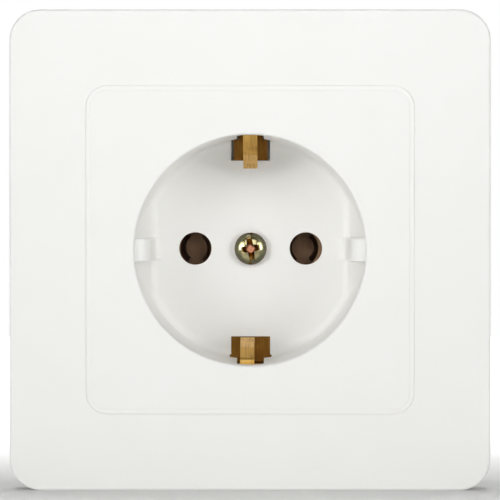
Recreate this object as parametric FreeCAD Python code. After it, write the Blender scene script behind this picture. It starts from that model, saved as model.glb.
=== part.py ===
"""A flush wall socket of type F with a single cover frame, in millimetres.

+X runs to the right and +Z up as seen from the room, and +Y runs into the wall.
The origin is the centre of the wall screws, on the wall plane, which is the back of the support ring.
"""
import FreeCAD, Part
import math
import os

# Cover frame
frame_width = 81.0
frame_corner = 5.2
frame_height = 9.5
frame_wall = 2.0
frame_face = 2.2
frame_edge_round = 0.4
opening_width = 55.3
opening_corner = 3.6
opening_edge_round = 0.06
collar_wall = 1.6
ledge_depth = 3.2
ledge_thickness = 1.4
ledge_width = 1.5
frame_rib_thickness = 1.2
frame_rib_spacing = 36.0
frame_post_width = 2.6

# Centre plate
plate_gap = 0.02
border_width = 0.7
border_drop = 0.15
plateau_edge_round = 0.1
flange_thickness = 2.0
skirt_wall = 1.3
well_radius = 19.5
well_draft = 0.6
well_depth = 17.5
rim_round = 0.4
floor_round = 1.5
cup_wall = 1.2
floor_thickness = 1.6
gusset_thickness = 1.2

# Leaning flats and guide ribs at both sides of the well
flat_foot_reach = 16.9
guide_width = 4.1
guide_rim_depth = 0.8
guide_nose_reach = 16.9
guide_nose_depth = 1.3
guide_nose_round = 2.2
guide_foot_reach = 16.3
guide_edge_round = 0.4

# Holes in the well floor
pin_spacing = 19.0
pin_hole_radius = 2.8
pin_length = 19.0
earth_slot_width = 6.7
earth_slot_start = 15.1
earth_notch_width = 4.6
earth_notch_depth = 3.0
lower_slot_ear = 0.25
lower_slot_ear_height = 0.7
centre_boss_radius = 3.6
centre_boss_height = 0.2

# Earth bracket
earth_strip = 0.8
bridge_width = 5.75
earth_leg_width = 4.0
earth_leg_gap = 0.2
tongue_width = 2.4
tongue_thickness = 0.6
tongue_fold_depth = 3.6
tongue_fold_radius = 0.75
upper_knee_reach = 16.3
lower_knee_reach = 16.9
tongue_knee_depth = 6.9
tongue_nose_depth = 12.5
tongue_tip_depth = 15.5
tongue_tip_return = 0.8
tongue_bend_radius = 0.65
leg_bend_radius = 0.9
upper_tongue_reach = 13.7
lower_tongue_reach = 15.1
lower_tongue_shift = -0.5
earth_terminal_angle = 45.0
earth_pad_radius = 2.8

# Line and neutral contacts
contact_strip = 0.8
contact_width = 7.0
leaf_thickness = 0.6
leaf_radius = 2.45
leaf_offset = 0.5
leaf_angle = 50.0
leaf_flare = 0.7
leaf_flare_length = 1.2
neutral_leaf_shift = -0.45
pin_end_clearance = 0.3
contact_bend_radius = 1.0
contact_spring_strip = 0.4
contact_spring_width = 4.0
contact_spring_start = 3.0

# Terminals
tail_depth = 4.0
wire_gap = 3.4
clamp_width = 4.2
clamp_thickness = 2.0
clamp_groove_radius = 1.3
clamp_groove_depth = 0.3
terminal_pitch = 10.0
wire_entry_radius = 1.8

# Screws
terminal_thread_radius = 1.5
terminal_head_radius = 2.25
terminal_head_height = 2.1
terminal_overrun = 1.5
centre_thread_radius = 1.5
centre_head_radius = 2.75
centre_head_height = 2.1
centre_screw_length = 7.0
tapping_thread_radius = 1.1
tapping_head_radius = 2.0
tapping_head_height = 1.4
tapping_screw_length = 9.5
centre_slot_width = 1.0
centre_slot_depth = 0.6
centre_screw_turn = -9.0
head_shoulder_ratio = 0.6
dome_middle_reach_ratio = 0.62
dome_middle_height_ratio = 0.86
thread_tip_ratio = 0.5
recess_span_ratio = 0.65
recess_width_ratio = 0.18
recess_depth_ratio = 0.65

# Base, rear cover and bush
outer_wall = 1.0
inner_wall = 0.8
core_wall = 1.2
base_flange = 1.5
deck_thickness = 1.8
rear_cover_thickness = 2.4
rear_cover_chamfer = 0.6
screw_seat_depth = 1.2
post_radius = 2.3
post_angle = 70.0
bush_collar_radius = 3.4
bush_body_radius = 2.4
bush_collar_height = 1.0
bush_length = 6.2

# Support ring
ring_edge_gap = 3.0
ring_thickness = 1.0
ring_corner_cut = 12.0
ring_notch = 1.2
wall_screw_circle = 60.0
wall_screw_hole_radius = 2.1

# Clearances
cup_clearance = 0.3
slide_clearance = 0.1
chamber_clearance = 0.3
screw_clearance = 0.2

# Planes along Y, from the room into the wall
front = -frame_height
ledge_front = front + ledge_depth
ledge_back = ledge_front + ledge_thickness
flat_front = front + rim_round
floor = front + well_depth
floor_back = floor + floor_thickness
bridge_front = floor_back + centre_boss_height
bridge_back = bridge_front + earth_strip
deck_back = bridge_back + deck_thickness
pin_end = floor + pin_length
contact_bottom = pin_end + pin_end_clearance
base_back = contact_bottom + contact_strip
cover_back = base_back + rear_cover_thickness
cover_seat = cover_back - screw_seat_depth
tail_back = tail_depth + contact_strip
earth_pocket_back = bridge_back + wire_gap + clamp_thickness + terminal_overrun + chamber_clearance

# Places across the wall
pin_x = pin_spacing / 2
plate_width = opening_width - 2 * plate_gap
plate_corner = opening_corner - plate_gap
plateau_width = plate_width - 2 * border_width
plateau_corner = plate_corner - border_width
floor_radius = well_radius - well_draft
flat_lean = (well_radius - flat_foot_reach) / (floor - flat_front)
flat_wall_reach = well_radius + flat_lean * flat_front
cavity_radius = well_radius + cup_wall + cup_clearance
partition_inner = flat_wall_reach + cup_wall + cup_clearance
chamber_inner = partition_inner + inner_wall
riser_x = chamber_inner + slide_clearance + contact_strip / 2
terminal_x = riser_x + contact_strip / 2 + screw_clearance + clamp_width / 2
chamber_outer = terminal_x + clamp_width / 2 + chamber_clearance
chamber_half = terminal_pitch / 2 + clamp_width / 2 + chamber_clearance
base_half_width = chamber_outer + outer_wall
base_radius = math.hypot(base_half_width, chamber_half + core_wall)
post_circle = cavity_radius + post_radius + cup_clearance
post_x = post_circle * math.cos(math.radians(post_angle))
post_z = post_circle * math.sin(math.radians(post_angle))
base_half_height = post_z + post_radius + chamber_clearance
earth_circle = cavity_radius + earth_pad_radius + screw_clearance
earth_x = earth_circle * math.cos(math.radians(earth_terminal_angle))
earth_z = -earth_circle * math.sin(math.radians(earth_terminal_angle))
earth_well_radius = earth_pad_radius + chamber_clearance
contact_half = leaf_radius + leaf_thickness + leaf_flare
chamber_start = contact_half + chamber_clearance
far = 2 * frame_width
tiny = 1e-3
same_place = 1e-7


def point(x, y, z=0.0):
    return FreeCAD.Vector(x, y, z)


def block(x0, x1, y0, y1, z0, z1):
    return Part.makeBox(x1 - x0, y1 - y0, z1 - z0, point(x0, y0, z0))


def cylinder(radius, y0, y1, x=0.0, z=0.0):
    """A cylinder along Y."""
    return Part.makeCylinder(radius, y1 - y0, point(x, y0, z), point(0, 1, 0))


def mirrored(shape):
    """The same shape on the other side of the middle plane."""
    return shape.mirror(point(0, 0), point(1, 0))


def outline_face(points):
    """A face from corner points, where a triple of points is an arc through its middle one."""
    edges = []
    ends = [(entry[0], entry[-1]) if isinstance(entry, tuple) else (entry, entry) for entry in points]
    for index, entry in enumerate(points):
        if isinstance(entry, tuple):
            edges.append(Part.Arc(*entry).toShape())
        start = ends[index][1]
        stop = ends[(index + 1) % len(points)][0]
        if start.distanceToPoint(stop) > same_place:
            edges.append(Part.LineSegment(start, stop).toShape())
    return Part.Face(Part.Wire(edges))


def turned(points):
    """The solid that a section in the XY plane makes when it turns round the Y axis."""
    return outline_face(points).revolve(point(0, 0), point(0, 1), 360)


def quarter(centre, radius, start_angle):
    """A quarter of a circle in the XY plane, counted from start_angle in degrees."""
    angles = [math.radians(start_angle + step) for step in (0, 45, 90)]
    return tuple(centre + point(radius * math.cos(a), radius * math.sin(a)) for a in angles)


def reversed_arc(arc):
    return tuple(reversed(arc))


def rounded_square(width, corner, y0, y1):
    """A square slab across Y with round corners."""
    half = width / 2
    slab = block(-half, half, y0, y1, -half, half)
    upright = [edge for edge in slab.Edges if edge.BoundBox.YLength > (y1 - y0) / 2]
    return slab.makeFillet(corner, upright)


def round_front(shape, y, radius, reach=far):
    """Rounds the edges of the face that looks into the room at this place, up to a reach from the middle."""
    edges = []
    for edge in shape.Edges:
        box = edge.BoundBox
        outermost = max(box.XMax, -box.XMin, box.ZMax, -box.ZMin)
        if abs(box.YMin - y) + box.YLength < tiny and outermost < reach:
            edges.append(edge)
    return shape.makeFillet(radius, edges)


def along_x(section, width, shift=0.0):
    """A section in the XY plane, turned so that its X becomes Z, and made this wide along X."""
    turned_section = section.rotated(point(0, 0), point(0, 1), -90)
    return turned_section.translated(point(shift - width / 2, 0)).extrude(point(width, 0))


def along_z(section, width):
    """A section in the XY plane made this wide, half above and half below."""
    return section.translated(point(0, 0, -width / 2)).extrude(point(0, 0, width))


def strip_section(path, bend_radius, thickness):
    """The section of a bent strip: its centre line follows the path, with a bend at each inner point."""
    steps = [(path[i + 1] - path[i]).normalize() for i in range(len(path) - 1)]
    sides = [point(-step.y, step.x) for step in steps]
    half = thickness / 2

    def one_side(offset):
        line = [path[0] + sides[0] * offset]
        for i in range(1, len(path) - 1):
            turn = steps[i - 1].getAngle(steps[i])
            left_turn = steps[i - 1].cross(steps[i]).z > 0
            inward = 1.0 if left_turn else -1.0
            tangent = bend_radius * math.tan(turn / 2)
            start = path[i] - steps[i - 1] * tangent
            stop = path[i] + steps[i] * tangent
            centre = start + sides[i - 1] * (inward * bend_radius)
            middle = (path[i] - centre).normalize() * (bend_radius - inward * offset) + centre
            line.append((start + sides[i - 1] * offset, middle, stop + sides[i] * offset))
        line.append(path[-1] + sides[-1] * offset)
        return line

    back = [reversed_arc(entry) if isinstance(entry, tuple) else entry for entry in reversed(one_side(half))]
    return outline_face(one_side(-half) + back)


def cross_screw(thread_radius, length, head_radius, head_height):
    """A pan-head screw with a cross recess. Its head seats at y = 0 and its thread runs along +Y."""
    tip = thread_radius * thread_tip_ratio
    dome = (
        point(0, -head_height),
        point(head_radius * dome_middle_reach_ratio, -head_height * dome_middle_height_ratio),
        point(head_radius, -head_height * head_shoulder_ratio),
    )
    screw = turned(
        [
            dome,
            point(head_radius, 0),
            point(thread_radius, 0),
            point(thread_radius, length - tip),
            point(thread_radius - tip, length),
            point(0, length),
        ]
    )
    span = head_radius * recess_span_ratio
    width = head_radius * recess_width_ratio
    depth = head_height * recess_depth_ratio
    wing = outline_face(
        [
            point(-span, -2 * head_height),
            point(span, -2 * head_height),
            point(span, -head_height),
            point(width, depth - head_height),
            point(-width, depth - head_height),
            point(-span, -head_height),
        ]
    )
    recess = along_z(wing, 2 * width)
    return screw.cut(recess.fuse(recess.rotated(point(0, 0), point(0, 1), 90)))


def well_cutter():
    """The open space of the well: a drafted round bore less its side flats and guide ribs."""
    rim = quarter(point(well_radius + rim_round, front + rim_round), rim_round, 180)
    foot = quarter(point(floor_radius - floor_round, floor - floor_round), floor_round, 0)
    bore = turned(
        [
            point(0, front - rim_round),
            point(well_radius + rim_round, front - rim_round),
            reversed_arc(rim),
            foot,
            point(0, floor),
        ]
    )
    flat_top = point(well_radius, flat_front)
    flat = leaning_section([point(far, flat_front), flat_top], flat_top, point(flat_foot_reach, floor))
    sides = along_z(flat, far).fuse(guide_rib())
    return bore.cut(sides.fuse(mirrored(sides)))


def leaning_section(front_edge, top, foot):
    """The section of a side of the well that leans from its top to its foot and is rounded into the floor."""
    lean = math.atan2(top.x - foot.x, foot.y - top.y)
    touch = floor_round * math.tan(math.pi / 4 - lean / 2)
    centre = point(foot.x - touch, foot.y - floor_round)
    half_turn = (lean + math.pi / 2) / 2
    fillet = (
        centre + point(math.cos(lean), math.sin(lean)) * floor_round,
        centre + point(math.cos(half_turn), math.sin(half_turn)) * floor_round,
        point(centre.x, foot.y),
    )
    below = foot.y + floor_thickness
    return outline_face(front_edge + [fillet, point(centre.x, below), point(far, below)])


def guide_rib():
    """The rib that leads a plug in: it starts below the rim, has a round nose and runs down to the floor."""
    nose = point(guide_nose_reach, front + guide_nose_depth)
    foot = point(guide_foot_reach, floor)
    outer_end = point(well_radius + cup_wall / 2, front + guide_rim_depth)
    to_rim = (outer_end - nose).normalize()
    to_foot = (foot - nose).normalize()
    half_corner = to_rim.getAngle(to_foot) / 2
    middle = (to_rim + to_foot).normalize()
    centre = nose + middle * (guide_nose_round / math.sin(half_corner))
    touch = guide_nose_round / math.tan(half_corner)
    nose_arc = (nose + to_rim * touch, centre - middle * guide_nose_round, nose + to_foot * touch)
    front_edge = [point(far, outer_end.y), outer_end, nose_arc]
    rib = along_z(leaning_section(front_edge, nose, foot), guide_width)
    return rib.makeFillet(guide_edge_round, [edge for edge in rib.Edges if is_rib_edge(edge)])


def is_rib_edge(edge):
    """Whether an edge runs along the top or the inner face of the guide rib, at one of its sides."""
    low, high = edge.BoundBox.ZMin, edge.BoundBox.ZMax
    inside = edge.BoundBox.XMax < well_radius + cup_wall and edge.BoundBox.YMax < floor
    return high - low < tiny and inside


def cup_body():
    """The outside of the well, drafted and flattened like its inside."""
    cup = turned(
        [
            point(0, front + border_drop),
            point(well_radius + cup_wall, front + border_drop),
            point(floor_radius + cup_wall, floor_back),
            point(0, floor_back),
        ]
    )
    outside_foot = flat_foot_reach + cup_wall - flat_lean * floor_thickness
    outside = outline_face(
        [
            point(far, flat_front),
            point(well_radius + cup_wall, flat_front),
            point(outside_foot, floor_back),
            point(outside_foot, floor_back + floor_thickness),
            point(far, floor_back + floor_thickness),
        ]
    )
    flats = along_z(outside, far)
    return cup.cut(flats.fuse(mirrored(flats)))


def earth_openings():
    """The slot in the floor and the notch in the wall for each earth tongue."""
    half = earth_slot_width / 2
    notch = earth_notch_width / 2
    slot = block(-half, half, floor - floor_round, far, earth_slot_start, floor_radius)
    wall = block(-notch, notch, front + earth_notch_depth, far, floor_radius - floor_round, far)
    upper = slot.fuse(wall)
    ear_half = half + lower_slot_ear
    ear_start = floor_radius - lower_slot_ear_height
    ear = block(-ear_half, ear_half, floor - floor_round, far, ear_start, floor_radius)
    lower = upper.fuse(ear).rotated(point(0, 0), point(0, 1), 180)
    return upper.fuse(lower)


def centre_plate():
    border = rounded_square(plate_width, plate_corner, front + border_drop, ledge_front)
    border = round_front(border, front + border_drop, opening_edge_round)
    plateau = rounded_square(plateau_width, plateau_corner, front, ledge_front)
    plateau = round_front(plateau, front, plateau_edge_round)
    hollow_width = plate_width - 2 * skirt_wall
    hollow_corner = max(plate_corner - skirt_wall, rim_round)
    hollow = rounded_square(hollow_width, hollow_corner, front + flange_thickness, floor)
    cup = cup_body()
    flange = border.fuse(plateau).cut(hollow)
    gussets = []
    for angle in (45, 135):
        half = gusset_thickness / 2
        gusset = block(-hollow_width / 2, hollow_width / 2, front + border_drop, ledge_front, -half, half)
        gussets.append(gusset.rotated(point(0, 0), point(0, 1), angle))
    boss = cylinder(centre_boss_radius, floor, bridge_front)
    plate = flange.fuse(gussets + [cup, boss]).cut(well_cutter()).cut(earth_openings())
    holes = [cylinder(pin_hole_radius, front, far, x) for x in (-pin_x, pin_x)]
    holes.append(cylinder(centre_thread_radius + screw_clearance, front, far))
    return plate.cut(holes).removeSplitter()


def cover_frame():
    shell = rounded_square(frame_width, frame_corner, front, 0)
    shell = round_front(shell, front, frame_edge_round)
    inner_width = frame_width - 2 * frame_wall
    inner_corner = max(frame_corner - frame_wall, frame_edge_round)
    hollow = rounded_square(inner_width, inner_corner, front + frame_face, 0)
    collar_width = opening_width + 2 * collar_wall
    collar = rounded_square(collar_width, opening_corner + collar_wall, front, ledge_back)
    ribs = []
    for shift in (-frame_rib_spacing / 2, frame_rib_spacing / 2):
        rib = block(
            shift - frame_rib_thickness / 2,
            shift + frame_rib_thickness / 2,
            front + frame_face / 2,
            ledge_back,
            opening_width / 2,
            inner_width / 2 + frame_wall / 2,
        )
        ribs += [rib.rotated(point(0, 0), point(0, 1), quarter_turn) for quarter_turn in (0, 90, 180, 270)]
    opening = rounded_square(opening_width, opening_corner, front, ledge_front)
    passage_width = opening_width - 2 * ledge_width
    passage = rounded_square(passage_width, max(opening_corner - ledge_width, frame_edge_round), front, 0)
    posts = []
    diagonal = opening_width / 2 - opening_corner + (opening_corner + collar_wall / 2) * math.sqrt(0.5)
    half = frame_post_width / 2
    for x in (-diagonal, diagonal):
        for z in (-diagonal, diagonal):
            posts.append(block(x - half, x + half, ledge_front, -ring_thickness, z - half, z + half))
    walls = shell.cut(hollow).fuse(collar.fuse(ribs)).cut(opening).cut(passage).removeSplitter()
    walls = round_front(walls, front, opening_edge_round, opening_width / 2 + tiny)
    return walls.fuse(posts).removeSplitter()


def support_ring():
    half = frame_width / 2 - frame_wall - ring_edge_gap
    cut = half - ring_corner_cut
    corners = []
    for turn in range(4):
        rotation = FreeCAD.Rotation(point(0, 0, 1), 90 * turn)
        corners += [rotation.multVec(point(half, cut)), rotation.multVec(point(cut, half))]
    plate = outline_face(corners).rotated(point(0, 0), point(1, 0), 90)
    ring = plate.translated(point(0, -ring_thickness)).extrude(point(0, ring_thickness))
    openings = [cylinder(cavity_radius, -far, far)]
    openings.append(block(-chamber_outer, chamber_outer, -far, far, -chamber_half, chamber_half))
    openings += [cylinder(earth_well_radius, -far, far, x, earth_z) for x in (-earth_x, earth_x)]
    openings += [cylinder(tapping_thread_radius + screw_clearance, -far, far, x, z) for x, z in post_places()]
    for turn in range(4):
        angle = math.radians(90 * turn)
        hole_x = wall_screw_circle / 2 * math.cos(angle)
        hole_z = wall_screw_circle / 2 * math.sin(angle)
        openings.append(cylinder(wall_screw_hole_radius, -far, far, hole_x, hole_z))
        edge = block(half - ring_notch, far, -far, far, -ring_notch / 2, ring_notch / 2)
        openings.append(edge.rotated(point(0, 0), point(0, 1), 90 * turn))
    return ring.cut(openings)


def post_places():
    return [(x, z) for x in (-post_x, post_x) for z in (-post_z, post_z)]


def base_outline(y0, y1, inset=0.0):
    """A slab with the outline of the base, or that outline less a wall."""
    half_width = base_half_width - inset
    half_height = base_half_height - inset
    slab = block(-half_width, half_width, y0, y1, -half_height, half_height)
    return slab.common(cylinder(base_radius - inset, y0, y1))


def base_walls():
    """The walls and posts inside the base, before its chambers are cut."""
    chamber = block(
        pin_x - chamber_start - core_wall,
        partition_inner,
        bridge_back,
        base_back,
        -contact_half - chamber_clearance - core_wall,
        contact_half + chamber_clearance + core_wall,
    )
    side_half = chamber_half + core_wall
    side = block(partition_inner, base_half_width, 0, base_back, -side_half, side_half)
    walls = []
    for wall in (chamber, side):
        walls += [wall, mirrored(wall)]
    walls += [cylinder(post_radius, 0, base_back, x, z) for x, z in post_places()]
    pocket_half = clamp_width / 2 + chamber_clearance + core_wall
    pocket_inner = cavity_radius - core_wall
    pocket_back = earth_pocket_back + core_wall
    for angle in (180 + earth_terminal_angle, 360 - earth_terminal_angle):
        pocket = block(pocket_inner, base_radius, 0, pocket_back, -pocket_half, pocket_half)
        walls.append(pocket.rotated(point(0, 0), point(0, 1), -angle))
    return [wall.common(base_outline(0, base_back)) for wall in walls]


def base_cutters():
    """The chambers and holes of the base."""
    chamber = block(
        pin_x - chamber_start,
        pin_x + chamber_start,
        deck_back,
        base_back,
        -contact_half - chamber_clearance,
        contact_half + chamber_clearance,
    )
    side = block(chamber_inner, chamber_outer, 0, base_back, -chamber_half, chamber_half)
    channel_half = contact_width / 2 + chamber_clearance
    channel_front = contact_bottom - 2 * contact_bend_radius
    channel = block(pin_x, chamber_outer, channel_front, base_back, -channel_half, channel_half)
    cutters = []
    for cutter in (chamber, side, channel):
        cutters += [cutter, mirrored(cutter)]
    for x in (-pin_x, pin_x):
        cutters.append(cylinder(pin_hole_radius + chamber_clearance, 0, deck_back, x))
    entry_depth = tail_back + wire_gap / 2
    for z in (-terminal_pitch / 2, terminal_pitch / 2):
        entry = Part.makeCylinder(wire_entry_radius, far, point(terminal_x, entry_depth, z), point(1, 0))
        notch = block(terminal_x, far, 0, entry_depth, z - wire_entry_radius, z + wire_entry_radius)
        entry = entry.fuse(notch)
        cutters += [entry, mirrored(entry)]
    cutters.append(cylinder(bush_body_radius, 0, deck_back))
    pocket_half = clamp_width / 2 + chamber_clearance
    for side_sign, angle in ((-1, 180 + earth_terminal_angle), (1, 360 - earth_terminal_angle)):
        cutters.append(cylinder(earth_well_radius, 0, bridge_back, side_sign * earth_x, earth_z))
        inner = earth_circle - clamp_width / 2 - chamber_clearance
        pocket = block(inner, far, bridge_back, earth_pocket_back, -pocket_half, pocket_half)
        cutters.append(pocket.rotated(point(0, 0), point(0, 1), -angle))
    bar_bottom = earth_z - earth_well_radius
    bar_top = earth_z + earth_well_radius
    cutters.append(block(-earth_x, earth_x, bridge_front, bridge_back, bar_bottom, bar_top))
    cutters += [cylinder(tapping_thread_radius, 0, base_back, x, z) for x, z in post_places()]
    return cutters


def base_housing():
    shell = base_outline(0, base_back)
    core = base_outline(base_flange, base_back, outer_wall)
    core = core.cut(cylinder(cavity_radius + core_wall, 0, deck_back))
    walls = shell.cut(core).cut(cylinder(cavity_radius, 0, bridge_back))
    return walls.fuse(base_walls()).cut(base_cutters()).cut(cup_space()).removeSplitter()


def cup_space():
    """Room for the centre plate's cup, kept clear of the side partitions by the cup's flats."""
    return cylinder(cavity_radius, 0, bridge_back).common(
        block(-partition_inner, partition_inner, 0, bridge_back, -far, far)
    )


def rear_cover():
    cover = base_outline(base_back, cover_back)
    back_edges = [edge for edge in cover.Edges if edge.BoundBox.YMin > cover_back - tiny]
    cover = cover.makeChamfer(rear_cover_chamfer, back_edges)
    for x, z in post_places():
        hole = cylinder(tapping_thread_radius + screw_clearance, base_back, cover_back, x, z)
        seat = cylinder(tapping_head_radius + screw_clearance, cover_seat, cover_back, x, z)
        cover = cover.cut(hole.fuse(seat))
    return cover


def earth_tongue(reach, knee_reach, shift):
    """One sprung arm: a leg up through the wall notch, a fold at its end and the tongue that comes back."""
    leg_z = well_radius + earth_leg_gap + earth_strip / 2
    fold = front + tongue_fold_depth
    start_z = leg_z - 2 * tongue_fold_radius
    foot = bridge_back - earth_strip / 2
    leg_end = fold + tongue_fold_radius
    leg_path = [point(leg_z - bridge_width, foot), point(leg_z, foot), point(leg_z, leg_end)]
    leg = strip_section(leg_path, leg_bend_radius, earth_strip)
    tongue = strip_section(
        [
            point(leg_z, fold + 2 * tongue_fold_radius),
            point(leg_z, fold),
            point(start_z, fold),
            point(knee_reach, front + tongue_knee_depth),
            point(reach + tongue_thickness / 2, front + tongue_nose_depth),
            point(reach + tongue_tip_return, front + tongue_tip_depth),
        ],
        tongue_bend_radius,
        tongue_thickness,
    )
    return along_x(leg, earth_leg_width).fuse(along_x(tongue, tongue_width, shift))


def earth_bracket():
    bridge_top = well_radius + earth_leg_gap - leg_bend_radius
    bridge = block(-bridge_width / 2, bridge_width / 2, bridge_front, bridge_back, earth_z, bridge_top)
    bar_bottom = earth_z - earth_pad_radius
    bar_top = earth_z + earth_pad_radius
    bar = block(-earth_x, earth_x, bridge_front, bridge_back, bar_bottom, bar_top)
    pads = [cylinder(earth_pad_radius, bridge_front, bridge_back, x, earth_z) for x in (-earth_x, earth_x)]
    upper = earth_tongue(upper_tongue_reach, upper_knee_reach, 0.0)
    lower = earth_tongue(lower_tongue_reach, lower_knee_reach, -lower_tongue_shift)
    lower = lower.rotated(point(0, 0), point(0, 1), 180)
    bracket = bridge.fuse(pads + [bar, upper, lower])
    screw_hole = terminal_thread_radius + screw_clearance
    holes = [cylinder(screw_hole, -far, far, x, earth_z) for x in (-earth_x, earth_x)]
    holes.append(cylinder(bush_body_radius, bridge_front, far))
    return bracket.cut(holes).removeSplitter()


def centre_bush():
    body = cylinder(bush_body_radius, bridge_front, bridge_front + bush_length)
    collar = cylinder(bush_collar_radius, deck_back, deck_back + bush_collar_height)
    return body.fuse(collar).cut(cylinder(centre_thread_radius, -far, far)).removeSplitter()


def contact_leaf(side):
    """One curved leaf, flared at its mouth, that grips the pin from one side."""
    start = deck_back + slide_clearance
    mouth = leaf_radius + leaf_flare
    section = outline_face(
        [
            point(leaf_radius, start + leaf_flare_length),
            point(leaf_radius, base_back),
            point(leaf_radius + leaf_thickness, base_back),
            point(leaf_radius + leaf_thickness, start + leaf_flare_length),
            point(mouth + leaf_thickness, start),
            point(mouth, start),
        ]
    )
    section = section.rotated(point(0, 0), point(0, 1), -leaf_angle)
    leaf = section.revolve(point(0, 0), point(0, 1), 2 * leaf_angle).translated(point(-leaf_offset, 0))
    return leaf if side > 0 else mirrored(leaf)


def contact(leaf_shift):
    """The contact on the right: two leaves on a bottom strip that rises to the terminal tail."""
    leaves = [contact_leaf(side).translated(point(pin_x + leaf_shift, 0)) for side in (-1, 1)]
    bottom = contact_bottom + contact_strip / 2
    strip = strip_section(
        [point(pin_x - contact_half, bottom), point(riser_x, bottom), point(riser_x, tail_back)],
        contact_bend_radius,
        contact_strip,
    )
    tail = block(
        riser_x - contact_strip / 2,
        terminal_x + clamp_width / 2,
        tail_depth,
        tail_back,
        -terminal_pitch / 2 - clamp_width / 2,
        terminal_pitch / 2 + clamp_width / 2,
    )
    body = along_z(strip, contact_width).fuse(leaves + [tail])
    holes = [
        cylinder(terminal_thread_radius + screw_clearance, 0, far, terminal_x, z)
        for z in (-terminal_pitch / 2, terminal_pitch / 2)
    ]
    return body.cut(holes).removeSplitter()


def contact_spring(leaf_shift):
    """The steel clip that presses the two leaves together, bent to a U."""
    grip = leaf_radius + leaf_thickness - leaf_offset + contact_spring_strip / 2
    bow = leaf_radius + grip / 2
    path = [point(-grip, -leaf_radius), point(-grip, bow), point(grip, bow), point(grip, -leaf_radius)]
    section = strip_section(path, contact_bend_radius, contact_spring_strip)
    section = section.rotated(point(0, 0), point(1, 0), 90)
    start = deck_back + contact_spring_start
    clip = section.translated(point(0, start)).extrude(point(0, contact_spring_width))
    return clip.translated(point(pin_x + leaf_shift, 0))


def clamp():
    """A square threaded plate with a groove for the wire, its wire side at y = 0."""
    half = clamp_width / 2
    plate = block(-half, half, 0, clamp_thickness, -half, half)
    groove_y = clamp_groove_depth - clamp_groove_radius
    for z in (-half, half):
        start = point(-half, groove_y, z)
        plate = plate.cut(Part.makeCylinder(clamp_groove_radius, clamp_width, start, point(1, 0)))
    return plate.cut(cylinder(terminal_thread_radius, 0, clamp_thickness))


def terminal_places():
    """Each terminal: name, place of its screw, seat of the head, strip under it and turn."""
    places = []
    for pole, sign in (("line", -1), ("neutral", 1)):
        for level, z in (("upper", terminal_pitch / 2), ("lower", -terminal_pitch / 2)):
            places.append((pole + "_" + level, sign * terminal_x, z, tail_depth, contact_strip, 0.0))
    for level, sign in (("left", -1), ("right", 1)):
        turn = sign * earth_terminal_angle
        places.append(("earth_" + level, sign * earth_x, earth_z, bridge_front, earth_strip, turn))
    return places


def terminal_clamps():
    clamps = {}
    for name, x, z, seat, strip, turn in terminal_places():
        turned_clamp = clamp().rotated(point(0, 0), point(0, 1), turn)
        clamps[name + "_clamp"] = turned_clamp.translated(point(x, seat + strip + wire_gap, z))
    return clamps


def terminal_screws():
    length = contact_strip + wire_gap + clamp_thickness + terminal_overrun
    screw = cross_screw(terminal_thread_radius, length, terminal_head_radius, terminal_head_height)
    seats = [point(x, seat, z) for _, x, z, seat, _, _ in terminal_places()]
    return Part.makeCompound([screw.translated(seat) for seat in seats])


def tapping_screws(seat, from_behind):
    screw = cross_screw(tapping_thread_radius, tapping_screw_length, tapping_head_radius, tapping_head_height)
    if from_behind:
        screw = screw.rotated(point(0, 0), point(0, 0, 1), 180)
    return Part.makeCompound([screw.translated(point(x, seat, z)) for x, z in post_places()])


def centre_screw():
    """The screw in the well floor: a slot crosses its recess, turned a little as it was driven."""
    screw = cross_screw(centre_thread_radius, centre_screw_length, centre_head_radius, centre_head_height)
    half = centre_slot_width / 2
    slot = block(-half, half, -far, centre_slot_depth - centre_head_height, -far, far)
    turned_screw = screw.cut(slot).rotated(point(0, 0), point(0, 1), centre_screw_turn)
    return turned_screw.translated(point(0, floor))


def all_pieces():
    pieces = {
        "cover_frame": cover_frame(),
        "centre_plate": centre_plate(),
        "centre_screw": centre_screw(),
        "support_ring": support_ring(),
        "base_housing": base_housing(),
        "rear_cover": rear_cover(),
        "earth_bracket": earth_bracket(),
        "centre_bush": centre_bush(),
        "line_contact": mirrored(contact(0.0)),
        "neutral_contact": contact(neutral_leaf_shift),
        "line_contact_spring": mirrored(contact_spring(0.0)),
        "neutral_contact_spring": contact_spring(neutral_leaf_shift),
        "terminal_screws": terminal_screws(),
        "ring_screws": tapping_screws(-ring_thickness, False),
        "rear_cover_screws": tapping_screws(cover_seat, True),
    }
    pieces.update(terminal_clamps())
    return pieces


os.makedirs("parts", exist_ok=True)
for node, shape in all_pieces().items():
    shape.exportStep("parts/" + node + ".step")
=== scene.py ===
"""Type F wall socket: the finishes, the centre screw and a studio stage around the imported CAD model.

Lengths are in metres, in the frame of the CAD model: +X to the right, +Y into the wall, +Z up.
"""
import math

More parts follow.
